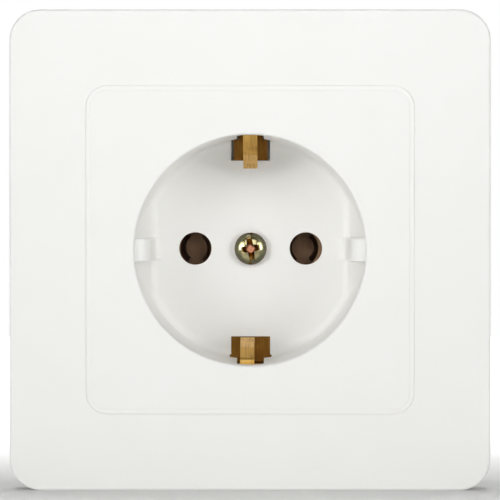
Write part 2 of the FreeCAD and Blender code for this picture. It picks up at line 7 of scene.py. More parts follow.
import bpy
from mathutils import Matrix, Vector


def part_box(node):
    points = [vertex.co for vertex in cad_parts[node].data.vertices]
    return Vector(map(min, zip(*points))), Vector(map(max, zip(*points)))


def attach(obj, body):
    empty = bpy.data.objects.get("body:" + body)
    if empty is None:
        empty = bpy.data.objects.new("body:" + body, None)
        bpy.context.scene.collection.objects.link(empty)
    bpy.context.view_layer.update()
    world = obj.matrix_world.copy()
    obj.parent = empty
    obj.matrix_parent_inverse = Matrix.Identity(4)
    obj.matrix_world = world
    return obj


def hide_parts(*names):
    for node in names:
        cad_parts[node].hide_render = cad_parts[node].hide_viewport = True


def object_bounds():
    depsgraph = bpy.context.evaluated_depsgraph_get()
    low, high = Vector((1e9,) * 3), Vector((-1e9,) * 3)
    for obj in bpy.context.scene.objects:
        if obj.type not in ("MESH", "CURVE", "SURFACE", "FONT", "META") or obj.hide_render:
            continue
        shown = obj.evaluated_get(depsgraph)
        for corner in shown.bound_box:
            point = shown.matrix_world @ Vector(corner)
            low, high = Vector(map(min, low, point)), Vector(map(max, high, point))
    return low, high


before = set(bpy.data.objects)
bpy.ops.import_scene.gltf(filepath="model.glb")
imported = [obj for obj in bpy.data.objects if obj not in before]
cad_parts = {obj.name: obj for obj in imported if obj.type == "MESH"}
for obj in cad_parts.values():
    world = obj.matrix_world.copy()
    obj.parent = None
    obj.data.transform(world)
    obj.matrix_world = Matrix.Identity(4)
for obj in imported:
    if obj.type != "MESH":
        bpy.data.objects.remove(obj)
cad_box = [list(corner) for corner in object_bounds()]

bl_info = {
    "name": "Type F wall socket",
    "version": (1, 0, 0),
    "blender": (4, 5, 0),
    "location": "3D View > Sidebar > Socket",
    "description": "Finishes the pieces of a type F wall socket and sets them on a studio stage",
    "category": "Object",
}

MM_PER_METRE = 1000

# Sockets of a Mix node that blends colours, by number because each type of data repeats their names
MIX_SHARE = 0
MIX_FIRST = 6
MIX_SECOND = 7
MIX_RESULT = 2

# Fineness of the screw: facets round it, steps from its shoulder to its crown, and steps round an edge
SCREW_FACETS = 96
DOME_STEPS = 12
EDGE_STEPS = 2

# Edges of the screw that are sharper than the first are rounded, and flatter than the second look smooth
SHARP_ANGLE = math.radians(35)
SMOOTH_ANGLE = math.radians(30)

# A face points down when the upright part of its normal is below this
FACING_DOWN = -0.5


def linear(hex_colour):
    """The linear RGBA of an sRGB hex colour."""
    channels = [int(hex_colour[start:start + 2], 16) / 255 for start in (1, 3, 5)]
    return [c / 12.92 if c <= 0.04045 else ((c + 0.055) / 1.055) ** 2.4 for c in channels] + [1.0]


def colour(name, description, hex_colour):
    """A colour that the sidebar shows."""
    return bpy.props.FloatVectorProperty(
        name=name, description=description, subtype="COLOR", size=4, min=0.0, max=1.0,
        default=linear(hex_colour)
    )


def length(name, description, default):
    """A length that the sidebar shows, in metres."""
    return bpy.props.FloatProperty(
        name=name, description=description, unit="LENGTH", precision=5, default=default
    )


def angle(name, description, degrees):
    """An angle that the sidebar shows."""
    return bpy.props.FloatProperty(
        name=name, description=description, subtype="ANGLE", default=math.radians(degrees)
    )


def power(name, description, default):
    """The power of a light that the sidebar shows, in watts."""
    return bpy.props.FloatProperty(name=name, description=description, unit="POWER", default=default)


def optics(name, description, default):
    """A size of the camera that the sidebar shows, in millimetres."""
    return bpy.props.FloatProperty(name=name, description=description, unit="CAMERA", default=default)


class SocketColours(bpy.types.PropertyGroup):
    """Colours of the finishes."""

    white: colour("White plastic", "Plate and frame in full light", "#F8F8F6")
    white_shade: colour("White plastic, dense", "Where the melt met and the white is denser", "#F5F5F2")
    brass: colour("Brass", "Freshly rolled strip", "#E2B562")
    # The dull brass colours serve both the handled patches and the painted shade of the strip deep in the
    # slot and holes.
    brass_worn_and_shaded: colour("Brass, dull", "Strip that has been handled", "#845B26")
    contact_brass: colour("Contact brass", "Strip browned by heat and use", "#B09678")
    contact_brass_worn_and_shaded: colour("Contact brass, dull", "Strip with a brown skin", "#8E715A")
    film_recess: colour("Film in the recess", "Rose film at the bottom of the cross", "#9A6A52")
    film_arms: colour("Film in the arms", "Brown film where the driver turns", "#7A5A28")
    # The crown colour is film lightened as a painted highlight; the green is a painted reflection of the dark
    # well, and the edge colour is film darkened as one.
    film_crown_and_highlight: colour("Film on the crown", "Pale yellow film on top of the head", "#C2B78A")
    painted_green_reflection: colour("Film, green", "Where the film is thick", "#6E7258")
    film_edge_and_reflection: colour("Film at the edge", "Grey brown film round the head", "#7A7061")
    bright_zinc: colour("Bright zinc", "Plated screws and clamps", "#C6C9CC")
    bright_zinc_blue: colour("Bright zinc, blue", "Blue passivation of the plating", "#B3BAC4")
    galvanised: colour("Galvanised steel", "Light crystals", "#BFC1C2")
    galvanised_dark: colour("Galvanised steel, dark", "Dark crystals", "#9DA1A4")
    spring: colour("Spring steel", "Hardened strip", "#8F9092")
    spring_temper: colour("Spring steel, temper", "Straw tint left by tempering", "#9A8F7D")
    base: colour("Base plastic", "Insulating moulding of the base", "#D5D6D4")
    base_shade: colour("Base plastic, filler", "Mineral filler near the surface", "#C4C6C5")
    floor: colour("Floor", "Paper sweep", "#FAFAF9")
    floor_fibre: colour("Floor, fibre", "Fibres in the paper", "#F4F4F2")
    backdrop: colour("Backdrop", "White behind the floor", "#FFFFFF")


class CentreScrewSizes(bpy.types.PropertyGroup):
    """Sizes of the centre screw."""

    head_radius: length("Head radius", "Outside of the head", 0.00275)
    head_height: length("Head height", "Seat to crown", 0.0021)
    shoulder: length("Shoulder", "Straight part of the head", 0.00126)
    thread_radius: length("Thread radius", "Outside of the thread", 0.0015)
    thread_depth: length("Thread depth", "Crest to root", 0.00025)
    thread_pitch: length("Thread pitch", "Crest to crest", 0.0005)
    thread_length: length("Thread length", "Seat to tip", 0.00695)
    slot_width: length("Slot width", "Straight slot across the head, at the crown", 0.00115)
    slot_foot_width: length("Slot foot", "Width of the slot at its bottom", 0.0007)
    slot_depth: length("Slot depth", "Below the crown", 0.0006)
    recess_reach: length("Recess reach", "Half the span of the cross at the crown", 0.0018)
    recess_foot_reach: length("Recess foot reach", "Half the span of the cross at its bottom", 0.0007)
    recess_width: length("Recess width", "Width of each arm of the cross at the crown", 0.00105)
    recess_foot_width: length("Recess foot width", "Width of each arm of the cross at its bottom", 0.0008)
    recess_depth: length("Recess depth", "Below the crown", 0.00136)
    pit_width: length("Pit width", "Square pit in the middle of the cross, at the crown", 0.0015)
    pit_foot_width: length("Pit foot", "Square pit at its bottom", 0.0009)
    edge_round: length("Edge round", "Rounding of the plated edges", 0.00004)
    turn: angle("Turn", "Where the screw came to rest, seen from the room", 9)


class StageSizes(bpy.types.PropertyGroup):
    """Camera, floor and lights."""

    camera_distance: length("Camera distance", "From the front of the frame", 0.83)
    camera_rise: length("Camera height", "Above the middle of the socket", 0.012)
    camera_side: length("Camera side", "To the right of the middle of the socket", 0.005)
    lens: optics("Lens", "Focal length", 355.0)
    sensor_width: optics("Sensor width", "What the focal length belongs to", 36.0)
    floor_width: length("Floor width", "Side of the paper sweep", 1.6)

    key_power: power("Key power", "Softbox above the lens", 0.106)
    key_distance: length("Key distance", "From the face, close to the socket", 0.24)
    key_rise: angle("Key rise", "Above the level of the socket", 28)
    key_width: length("Key width", "Side to side", 0.2)
    key_height: length("Key height", "Top to bottom", 0.09)
    key_spread: angle("Key spread", "Opening of the beam", 180)

    left_power: power("Left power", "Tall softbox at the left", 0.192)
    left_turn: angle("Left turn", "From straight ahead to the right", -42)
    right_power: power("Right power", "Tall softbox at the right", 0.17)
    right_turn: angle("Right turn", "From straight ahead to the right", 44)
    side_distance: length("Side distance", "From the face to the left and right softboxes", 0.5)
    side_rise: angle("Side rise", "Above the level of the socket", 12)
    side_aim: length("Side aim", "How far above the middle of the socket the side lights point", 0.1)
    side_width: length("Side width", "Side to side", 0.28)
    side_height: length("Side height", "Top to bottom", 0.3)
    side_spread: angle("Side spread", "Opening of the beams", 60)

    lens_power: power("Lens light power", "Small softbox beside the lens, which looks into the holes", 0.006)
    lens_distance: length("Lens light distance", "From the face", 0.7)
    lens_rise: angle("Lens light rise", "Above the level of the socket", 3)
    lens_width: length("Lens light width", "Side to side", 0.2)
    lens_height: length("Lens light height", "Top to bottom", 0.1)
    lens_spread: angle("Lens light spread", "Opening of the beam", 30)

    rear_power: power("Rear power", "Softbox over the floor behind the socket", 8.0)
    rear_reach: length("Rear reach", "Behind the wall plane", 0.5)
    rear_spread: angle("Rear spread", "Opening of the beam", 70)
    front_power: power("Front power", "Softbox over the floor in front of the socket", 1.8)
    front_reach: length("Front reach", "In front of the wall plane", 0.75)
    front_spread: angle("Front spread", "Opening of the beam", 60)
    overhead_height: length("Overhead height", "Rear and front softbox above the floor", 0.45)
    overhead_width: length("Overhead width", "Side to side", 1.6)
    overhead_depth: length("Overhead depth", "Front to back", 0.8)

    strip_power: power("Strip power", "Strip over the floor at the foot of the socket", 0.012)
    strip_reach: length("Strip reach", "In front of the wall plane", 0.05)
    strip_height: length("Strip height", "Above the floor", 0.12)
    strip_width: length("Strip width", "Side to side", 0.3)
    strip_depth: length("Strip depth", "Front to back", 0.05)
    strip_spread: angle("Strip spread", "Opening of the beam", 20)

    fill: bpy.props.FloatProperty(
        name="Fill", description="Even light from all around", subtype="FACTOR", min=0.0, max=2.0,
        default=0.04
    )


def per_metre(size_mm):
    """The texture scale that draws features of this many millimetres."""
    return MM_PER_METRE / size_mm


def add_node(tree, kind, inputs=None, **settings):
    """Add a node, make its settings, and link or set its inputs, by name or by number."""
    node = tree.nodes.new(kind)
    for name, value in settings.items():
        setattr(node, name, value)
    for name, value in (inputs or {}).items():
        if isinstance(value, bpy.types.NodeSocket):
            tree.links.new(value, node.inputs[name])
        else:
            node.inputs[name].default_value = value
    return node


def new_finish(name):
    """A material without nodes."""
    material = bpy.data.materials.new(name)
    material.use_nodes = True
    material.node_tree.nodes.clear()
    return material


def give_finish(material, *nodes):
    """Put a finish on CAD nodes."""
    for name in nodes:
        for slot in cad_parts[name].material_slots:
            slot.material = material


def moulded_white(colours):
    """Polycarbonate blend, injection moulded in a polished tool."""
    # An even warm white with a soft gloss, which wavers slightly where the melt flowed and shrank.
    material = new_finish("moulded_white_polycarbonate")
    tree = material.node_tree
    place = add_node(tree, "ShaderNodeTexCoord").outputs["Object"]
    flow = add_node(tree, "ShaderNodeTexNoise", {"Vector": place, "Scale": per_metre(12), "Detail": 2.0})
    # Tool polish is about 0.02 mm, drawn at 0.5 mm so that it shows.
    polish = add_node(tree, "ShaderNodeTexNoise", {"Vector": place, "Scale": per_metre(0.5), "Detail": 3.0})
    tint = add_node(
        tree, "ShaderNodeMix",
        {MIX_SHARE: flow.outputs["Fac"], MIX_FIRST: colours.white, MIX_SECOND: colours.white_shade},
        data_type="RGBA"
    )
    gloss = add_node(
        tree, "ShaderNodeMapRange", {"Value": flow.outputs["Fac"], "To Min": 0.46, "To Max": 0.56}
    )
    relief = add_node(
        tree, "ShaderNodeBump", {"Height": polish.outputs["Fac"], "Strength": 0.12, "Distance": 0.00002}
    )
    shader = add_node(tree, "ShaderNodeBsdfPrincipled", {
        "Base Color": tint.outputs[MIX_RESULT],
        "Roughness": gloss.outputs["Result"],
        "IOR": 1.58,
        "Normal": relief.outputs["Normal"],
    })
    add_node(tree, "ShaderNodeOutputMaterial", {"Surface": shader.outputs["BSDF"]})
    return material


def moulded_base(colours):
    """Urea moulding compound with mineral filler, pressed in a matt tool."""
    # A flat light grey with fine specks and a dry, grained surface.
    material = new_finish("moulded_base_urea")
    tree = material.node_tree
    place = add_node(tree, "ShaderNodeTexCoord").outputs["Object"]
    filler = add_node(tree, "ShaderNodeTexNoise", {"Vector": place, "Scale": per_metre(1.2), "Detail": 6.0})
    # Spark-eroded grain is about 0.05 mm, drawn at 0.3 mm so that it shows.
    grain = add_node(tree, "ShaderNodeTexNoise", {"Vector": place, "Scale": per_metre(0.3), "Detail": 2.0})
    tint = add_node(
        tree, "ShaderNodeMix",
        {MIX_SHARE: filler.outputs["Fac"], MIX_FIRST: colours.base, MIX_SECOND: colours.base_shade},
        data_type="RGBA"
    )
    gloss = add_node(
        tree, "ShaderNodeMapRange", {"Value": grain.outputs["Fac"], "To Min": 0.5, "To Max": 0.7}
    )
    relief = add_node(
        tree, "ShaderNodeBump", {"Height": grain.outputs["Fac"], "Strength": 0.5, "Distance": 0.00004}
    )
    shader = add_node(tree, "ShaderNodeBsdfPrincipled", {
        "Base Color": tint.outputs[MIX_RESULT],
        "Roughness": gloss.outputs["Result"],
        "IOR": 1.55,
        "Normal": relief.outputs["Normal"],
    })
    add_node(tree, "ShaderNodeOutputMaterial", {"Surface": shader.outputs["BSDF"]})
    return material


def rolled_brass(name, bright, handled_and_shaded):
    """Brass strip, rolled, then stamped and folded."""
    # Warm yellow metal with fine streaks along the strip and duller patches where it was handled.
    # What plugs rub is bright; deeper in, the strip is painted dull brown, a painted shade for the dark slot
    # and holes.
    painted_shade_start = 0.004
    painted_shade_full = 0.009
    material = new_finish(name)
    tree = material.node_tree
    place = add_node(tree, "ShaderNodeTexCoord").outputs["Object"]
    # Streaks of the rolls are about 0.05 mm wide, drawn at 0.18 mm so that they show.
    along = add_node(
        tree, "ShaderNodeMapping",
        {"Vector": place, "Scale": (per_metre(0.18), per_metre(4.0), per_metre(4.0))}
    )
    streaks = add_node(
        tree, "ShaderNodeTexNoise", {"Vector": along.outputs["Vector"], "Scale": 1.0, "Detail": 3.0}
    )
    patches = add_node(tree, "ShaderNodeTexNoise", {"Vector": place, "Scale": per_metre(2.5), "Detail": 3.0})
    dull = add_node(
        tree, "ShaderNodeMath", {0: streaks.outputs["Fac"], 1: patches.outputs["Fac"]}, operation="MULTIPLY"
    )
    handled = add_node(
        tree, "ShaderNodeMapRange", {"Value": dull.outputs[0], "From Min": 0.2, "From Max": 0.6}
    )
    # Painted shade: past the start depth behind the face the dull colour takes over, almost fully at the full
    # depth.
    depth = add_node(tree, "ShaderNodeSeparateXYZ", {"Vector": place})
    painted_depth_shade = add_node(
        tree, "ShaderNodeMapRange",
        {"Value": depth.outputs["Y"], "From Min": painted_shade_start, "From Max": painted_shade_full, "To Max": 0.9}
    )
    wear_and_painted_shade = add_node(tree, "ShaderNodeMath", {0: handled.outputs["Result"], 1: painted_depth_shade.outputs["Result"]})
    tint = add_node(
        tree, "ShaderNodeMix",
        {MIX_SHARE: wear_and_painted_shade.outputs[0], MIX_FIRST: bright, MIX_SECOND: handled_and_shaded},
        data_type="RGBA"
    )
    gloss = add_node(
        tree, "ShaderNodeMapRange", {"Value": dull.outputs[0], "From Max": 0.5, "To Min": 0.32, "To Max": 0.5}
    )
    relief = add_node(
        tree, "ShaderNodeBump", {"Height": streaks.outputs["Fac"], "Strength": 0.2, "Distance": 0.00002}
    )
    shader = add_node(tree, "ShaderNodeBsdfPrincipled", {
        "Base Color": tint.outputs[MIX_RESULT],
        "Metallic": 1.0,
        "Roughness": gloss.outputs["Result"],
        "Normal": relief.outputs["Normal"],
    })
    add_node(tree, "ShaderNodeOutputMaterial", {"Surface": shader.outputs["BSDF"]})
    return material


def dome_radius(sizes):
    """The radius of the domed crown of the screw."""
    crown_drop = sizes.head_height - sizes.shoulder
    return (sizes.head_radius ** 2 + crown_drop ** 2) / (2 * crown_drop)


def yellow_zinc(colours, sizes, crown_y):
    """Steel, zinc plated and yellow passivated."""
    # A thin chromate film over bright metal. The crown is pale yellow, lightened as a painted highlight of
    # the lights;
    # towards the edge of the head it turns green and grey brown, painted reflections of the darker well round
    # it.
    # The film is thicker in the slot and the cross, where it is brown, and rose at the bottom.
    # The colours change at these shares of the radius of the head, more or less.
    crown_highlight_share = 0.6
    green_reflection_share = 0.82
    edge_reflection_share = 0.95
    rose_share = 0.2
    arms_share = 0.4
    share_wander = 0.12
    # The film of the slot and the cross starts and is complete this far below the dome of the crown.
    cut_start = 0.0001
    cut_full = 0.0003
    material = new_finish("yellow_passivated_zinc")
    tree = material.node_tree
    place = add_node(tree, "ShaderNodeTexCoord").outputs["Object"]
    across = add_node(tree, "ShaderNodeVectorMath", {0: place, 1: (1, 0, 1)}, operation="MULTIPLY")
    distance = add_node(tree, "ShaderNodeVectorMath", {0: across.outputs["Vector"]}, operation="LENGTH")
    reach = distance.outputs["Value"]
    share = add_node(tree, "ShaderNodeMapRange", {"Value": reach, "From Max": sizes.head_radius})
    clouds = add_node(tree, "ShaderNodeTexNoise", {"Vector": place, "Scale": per_metre(1.1), "Detail": 2.0})
    wander = add_node(
        tree, "ShaderNodeMapRange",
        {"Value": clouds.outputs["Fac"], "To Min": -share_wander, "To Max": share_wander}
    )
    band = add_node(tree, "ShaderNodeMath", {0: share.outputs["Result"], 1: wander.outputs["Result"]})
    # Painted highlight and reflections: this ramp lightens the crown and darkens the head towards its edge.
    outside = add_node(tree, "ShaderNodeValToRGB", {"Fac": band.outputs[0]})
    stops = outside.color_ramp.elements
    stops[0].position = crown_highlight_share
    stops[0].color = colours.film_crown_and_highlight
    stops[1].position = edge_reflection_share
    stops[1].color = colours.film_edge_and_reflection
    stops.new(green_reflection_share).color = colours.painted_green_reflection
    inside = add_node(tree, "ShaderNodeValToRGB", {"Fac": band.outputs[0]})
    stops = inside.color_ramp.elements
    stops[0].position = rose_share
    stops[0].color = colours.film_recess
    stops[1].position = arms_share
    stops[1].color = colours.film_arms
    # The crown drops by the square of the reach, and what lies deeper is the slot or the cross.
    square = add_node(tree, "ShaderNodeMath", {0: reach, 1: reach}, operation="MULTIPLY")
    drop = add_node(
        tree, "ShaderNodeMath", {0: square.outputs[0], 1: 1 / (2 * dome_radius(sizes))}, operation="MULTIPLY"
    )
    depth = add_node(tree, "ShaderNodeSeparateXYZ", {"Vector": place})
    below = add_node(
        tree, "ShaderNodeMath", {0: depth.outputs["Y"], 1: drop.outputs[0]}, operation="SUBTRACT"
    )
    cut = add_node(
        tree, "ShaderNodeMapRange",
        {"Value": below.outputs[0], "From Min": crown_y + cut_start, "From Max": crown_y + cut_full}
    )
    film = add_node(
        tree, "ShaderNodeMix",
        {
            MIX_SHARE: cut.outputs["Result"],
            MIX_FIRST: outside.outputs["Color"],
            MIX_SECOND: inside.outputs["Color"],
        },
        data_type="RGBA"
    )
    gloss = add_node(
        tree, "ShaderNodeMapRange", {"Value": clouds.outputs["Fac"], "To Min": 0.09, "To Max": 0.2}
    )
    shader = add_node(tree, "ShaderNodeBsdfPrincipled", {
        "Base Color": film.outputs[MIX_RESULT],
        "Metallic": 1.0,
        "Roughness": gloss.outputs["Result"],
    })
    add_node(tree, "ShaderNodeOutputMaterial", {"Surface": shader.outputs["BSDF"]})
    return material


def bright_zinc(colours):
    """Steel, bright zinc plated and blue passivated."""
    # Silvery metal with a faint blue cast and small soft spots in its gloss.
    material = new_finish("bright_zinc_plating")
    tree = material.node_tree
    place = add_node(tree, "ShaderNodeTexCoord").outputs["Object"]
    spots = add_node(tree, "ShaderNodeTexNoise", {"Vector": place, "Scale": per_metre(0.8), "Detail": 4.0})
    tint = add_node(
        tree, "ShaderNodeMix",
        {
            MIX_SHARE: spots.outputs["Fac"],
            MIX_FIRST: colours.bright_zinc,
            MIX_SECOND: colours.bright_zinc_blue,
        },
        data_type="RGBA"
    )
    gloss = add_node(
        tree, "ShaderNodeMapRange", {"Value": spots.outputs["Fac"], "To Min": 0.22, "To Max": 0.4}
    )
    shader = add_node(tree, "ShaderNodeBsdfPrincipled", {
        "Base Color": tint.outputs[MIX_RESULT],
        "Metallic": 1.0,
        "Roughness": gloss.outputs["Result"],
    })
    add_node(tree, "ShaderNodeOutputMaterial", {"Surface": shader.outputs["BSDF"]})
    return material


def galvanised_sheet(colours):
    """Steel sheet, hot-dip galvanised, then stamped."""
    # Grey zinc crystals a few millimetres wide, each with its own shade and gloss, on a slightly rough skin.
    material = new_finish("galvanised_steel_sheet")
    tree = material.node_tree
    place = add_node(tree, "ShaderNodeTexCoord").outputs["Object"]
    crystals = add_node(tree, "ShaderNodeTexVoronoi", {"Vector": place, "Scale": per_metre(3.5)})
    shade = add_node(tree, "ShaderNodeSeparateColor", {"Color": crystals.outputs["Color"]})
    skin = add_node(tree, "ShaderNodeTexNoise", {"Vector": place, "Scale": per_metre(0.6), "Detail": 5.0})
    tint = add_node(
        tree, "ShaderNodeMix",
        {
            MIX_SHARE: shade.outputs["Red"],
            MIX_FIRST: colours.galvanised,
            MIX_SECOND: colours.galvanised_dark,
        },
        data_type="RGBA"
    )
    gloss = add_node(
        tree, "ShaderNodeMapRange", {"Value": shade.outputs["Green"], "To Min": 0.3, "To Max": 0.5}
    )
    relief = add_node(
        tree, "ShaderNodeBump", {"Height": skin.outputs["Fac"], "Strength": 0.15, "Distance": 0.00003}
    )
    shader = add_node(tree, "ShaderNodeBsdfPrincipled", {
        "Base Color": tint.outputs[MIX_RESULT],
        "Metallic": 1.0,
        "Roughness": gloss.outputs["Result"],
        "Normal": relief.outputs["Normal"],
    })
    add_node(tree, "ShaderNodeOutputMaterial", {"Surface": shader.outputs["BSDF"]})
    return material


def tempered_strip(colours):
    """Spring steel strip, rolled and tempered."""
    # Dark grey metal, streaked along the strip, with a straw tint here and there.
    material = new_finish("tempered_spring_strip")
    tree = material.node_tree
    place = add_node(tree, "ShaderNodeTexCoord").outputs["Object"]
    # Streaks of the rolls are about 0.05 mm wide, drawn at 0.3 mm so that they show.
    along = add_node(
        tree, "ShaderNodeMapping",
        {"Vector": place, "Scale": (per_metre(0.3), per_metre(0.3), per_metre(3.0))}
    )
    streaks = add_node(
        tree, "ShaderNodeTexNoise", {"Vector": along.outputs["Vector"], "Scale": 1.0, "Detail": 3.0}
    )
    tint = add_node(
        tree, "ShaderNodeMix",
        {MIX_SHARE: streaks.outputs["Fac"], MIX_FIRST: colours.spring, MIX_SECOND: colours.spring_temper},
        data_type="RGBA"
    )
    gloss = add_node(
        tree, "ShaderNodeMapRange", {"Value": streaks.outputs["Fac"], "To Min": 0.25, "To Max": 0.45}
    )
    shader = add_node(tree, "ShaderNodeBsdfPrincipled", {
        "Base Color": tint.outputs[MIX_RESULT],
        "Metallic": 1.0,
        "Roughness": gloss.outputs["Result"],
    })
    add_node(tree, "ShaderNodeOutputMaterial", {"Surface": shader.outputs["BSDF"]})
    return material


def paper_sweep(colours):
    """Matt studio paper."""
    # A plain near-white with hardly visible fibres.
    material = new_finish("studio_paper")
    tree = material.node_tree
    place = add_node(tree, "ShaderNodeTexCoord").outputs["Object"]
    fibres = add_node(tree, "ShaderNodeTexNoise", {"Vector": place, "Scale": per_metre(2.0), "Detail": 6.0})
    tint = add_node(
        tree, "ShaderNodeMix",
        {MIX_SHARE: fibres.outputs["Fac"], MIX_FIRST: colours.floor, MIX_SECOND: colours.floor_fibre},
        data_type="RGBA"
    )
    shader = add_node(
        tree, "ShaderNodeBsdfPrincipled", {"Base Color": tint.outputs[MIX_RESULT], "Roughness": 0.9}
    )
    add_node(tree, "ShaderNodeOutputMaterial", {"Surface": shader.outputs["BSDF"]})
    return material


def rise_to(step, radius, old_radius):
    """Extrude the selected end of a turned piece by a step and give it a new radius."""
    bpy.ops.mesh.extrude_region_move(TRANSFORM_OT_translate={"value": (0, 0, step)})
    bpy.ops.transform.resize(value=(radius / old_radius, radius / old_radius, 1))


def turn_screw(sizes):
    """The turned blank of the screw, upright on the origin, with its seat at z = 0."""
    root = sizes.thread_radius - sizes.thread_depth
    tip = root / 2
    bpy.ops.object.select_all(action="DESELECT")
    bpy.ops.mesh.primitive_circle_add(
        vertices=SCREW_FACETS, radius=tip, fill_type="NGON", location=(0, 0, -sizes.thread_length)
    )
    bpy.ops.object.mode_set(mode="EDIT")
    rise_to(tip, root, tip)
    # The thread is a row of rings, because its slope is too small to see, and it ends below the head.
    half_pitch = sizes.thread_pitch / 2
    turns = int((sizes.thread_length - tip) / sizes.thread_pitch) - 1
    for _ in range(turns):
        rise_to(half_pitch, sizes.thread_radius, root)
        rise_to(half_pitch, root, sizes.thread_radius)
    rise_to(sizes.thread_length - tip - turns * sizes.thread_pitch, root, root)
    rise_to(0, sizes.head_radius, root)
    rise_to(sizes.shoulder, sizes.head_radius, sizes.head_radius)
    dome = dome_radius(sizes)
    edge_angle = math.asin(sizes.head_radius / dome)
    for step in range(1, DOME_STEPS):
        old_angle = edge_angle * (1 - (step - 1) / DOME_STEPS)
        new_angle = edge_angle * (1 - step / DOME_STEPS)
        climb = dome * (math.cos(new_angle) - math.cos(old_angle))
        rise_to(climb, dome * math.sin(new_angle), dome * math.sin(old_angle))
    bpy.ops.mesh.select_all(action="SELECT")
    bpy.ops.mesh.normals_make_consistent(inside=False)
    bpy.ops.object.mode_set(mode="OBJECT")
    bpy.ops.object.transform_apply(location=True)
    return bpy.context.object


def cut_away(piece, crown, depth, reach, width, foot_reach, foot_width, turn):
    """Cut one straight arm, drafted to its foot, into the head of a screw."""
    bpy.ops.object.select_all(action="DESELECT")
    bpy.ops.mesh.primitive_cube_add(size=1, location=(0, 0, crown))
    cutter = bpy.context.object
    # The cutter stands as far above the crown as below it, so it is as much wider there as it narrows.
    top_reach = 2 * reach - foot_reach
    top_width = 2 * width - foot_width
    bpy.ops.object.mode_set(mode="EDIT")
    bpy.ops.transform.resize(value=(2 * top_reach, top_width, 2 * depth))
    bpy.ops.mesh.select_all(action="DESELECT")
    bpy.ops.object.mode_set(mode="OBJECT")
    for face in cutter.data.polygons:
        face.select = face.normal.z < FACING_DOWN
    bpy.ops.object.mode_set(mode="EDIT")
    bpy.ops.transform.resize(value=(foot_reach / top_reach, foot_width / top_width, 1))
    bpy.ops.object.mode_set(mode="OBJECT")
    cutter.rotation_euler.z = turn
    faces_before = len(piece.data.polygons)
    bpy.context.view_layer.objects.active = piece
    bpy.ops.object.modifier_add(type="BOOLEAN")
    cut = piece.modifiers[-1]
    cut.object = cutter
    cut.operation = "DIFFERENCE"
    cut.solver = "EXACT"
    bpy.ops.object.modifier_apply(modifier=cut.name)
    if len(piece.data.polygons) == faces_before:
        raise RuntimeError("the screw head was not cut")
    bpy.data.objects.remove(cutter)


def cut_head(screw, sizes):
    """Cut the slot, the cross and the square pit in its middle into the head of the screw."""
    crown = sizes.head_height
    past_head = 2 * sizes.head_radius
    across = math.pi / 2
    cut_away(
        screw, crown, sizes.slot_depth, past_head, sizes.slot_width, past_head, sizes.slot_foot_width, across
    )
    for turn in (0, across):
        cut_away(
            screw, crown, sizes.recess_depth, sizes.recess_reach, sizes.recess_width,
            sizes.recess_foot_reach, sizes.recess_foot_width, turn
        )
    cut_away(
        screw, crown, sizes.recess_depth, sizes.pit_width / 2, sizes.pit_width,
        sizes.pit_foot_width / 2, sizes.pit_foot_width, across / 2
    )


def round_edges(piece, width):
    """Round the sharp edges of a piece and shade the rest smoothly."""
    bpy.ops.object.select_all(action="DESELECT")
    piece.select_set(True)
    bpy.context.view_layer.objects.active = piece
    bpy.ops.object.modifier_add(type="BEVEL")
    edges = piece.modifiers[-1]
    edges.width = width
    edges.segments = EDGE_STEPS
    edges.limit_method = "ANGLE"
    edges.angle_limit = SHARP_ANGLE
    bpy.ops.object.modifier_apply(modifier=edges.name)
    bpy.ops.object.shade_smooth_by_angle(angle=SMOOTH_ANGLE)


def lay_floor(scene, level):
    """A sheet of studio paper that the socket stands on."""
    bpy.ops.object.select_all(action="DESELECT")
    bpy.ops.mesh.primitive_plane_add(size=scene.socket_stage.floor_width, location=(0, 0, level))
    floor = bpy.context.object
    floor.name = "paper_floor"
    bpy.ops.object.transform_apply(location=True)
    floor.data.materials.append(paper_sweep(scene.socket_colours))


def softbox(name, watts, aim, distance, size, spread, rise=math.pi / 2, side=0.0, raised=0.0):
    """A soft area light in a direction from its aim, or straight above it, which the camera doesn't see."""
    reach = distance * math.cos(rise)
    place = aim + Vector((reach * math.sin(side), -reach * math.cos(side), distance * math.sin(rise)))
    turn = (aim + Vector((0, 0, raised)) - place).to_track_quat("-Z", "Y").to_euler()
    bpy.ops.object.light_add(type="AREA", location=place, rotation=turn)
    light = bpy.context.object
    light.name = name
    light.data.shape = "RECTANGLE"
    light.data.size, light.data.size_y = size
    light.data.spread = spread
    light.data.energy = watts
    light.visible_camera = False


def hang_lights(sizes, face, level):
    """Four softboxes before the face of the socket, and three that look down on the floor."""
    key_size = (sizes.key_width, sizes.key_height)
    softbox(
        "key_light", sizes.key_power, face, sizes.key_distance, key_size, sizes.key_spread,
        rise=sizes.key_rise
    )
    side_size = (sizes.side_width, sizes.side_height)
    softbox(
        "left_light", sizes.left_power, face, sizes.side_distance, side_size, sizes.side_spread,
        rise=sizes.side_rise, side=sizes.left_turn, raised=sizes.side_aim
    )
    softbox(
        "right_light", sizes.right_power, face, sizes.side_distance, side_size, sizes.side_spread,
        rise=sizes.side_rise, side=sizes.right_turn, raised=sizes.side_aim
    )
    lens_size = (sizes.lens_width, sizes.lens_height)
    softbox(
        "lens_light", sizes.lens_power, face, sizes.lens_distance, lens_size, sizes.lens_spread,
        rise=sizes.lens_rise
    )
    overhead_size = (sizes.overhead_width, sizes.overhead_depth)
    back = Vector((0, sizes.rear_reach, level))
    softbox("rear_light", sizes.rear_power, back, sizes.overhead_height, overhead_size, sizes.rear_spread)
    strip_size = (sizes.strip_width, sizes.strip_depth)
    foot = Vector((0, -sizes.strip_reach, level))
    softbox("strip_light", sizes.strip_power, foot, sizes.strip_height, strip_size, sizes.strip_spread)
    front = Vector((0, -sizes.front_reach, level))
    softbox("front_light", sizes.front_power, front, sizes.overhead_height, overhead_size, sizes.front_spread)


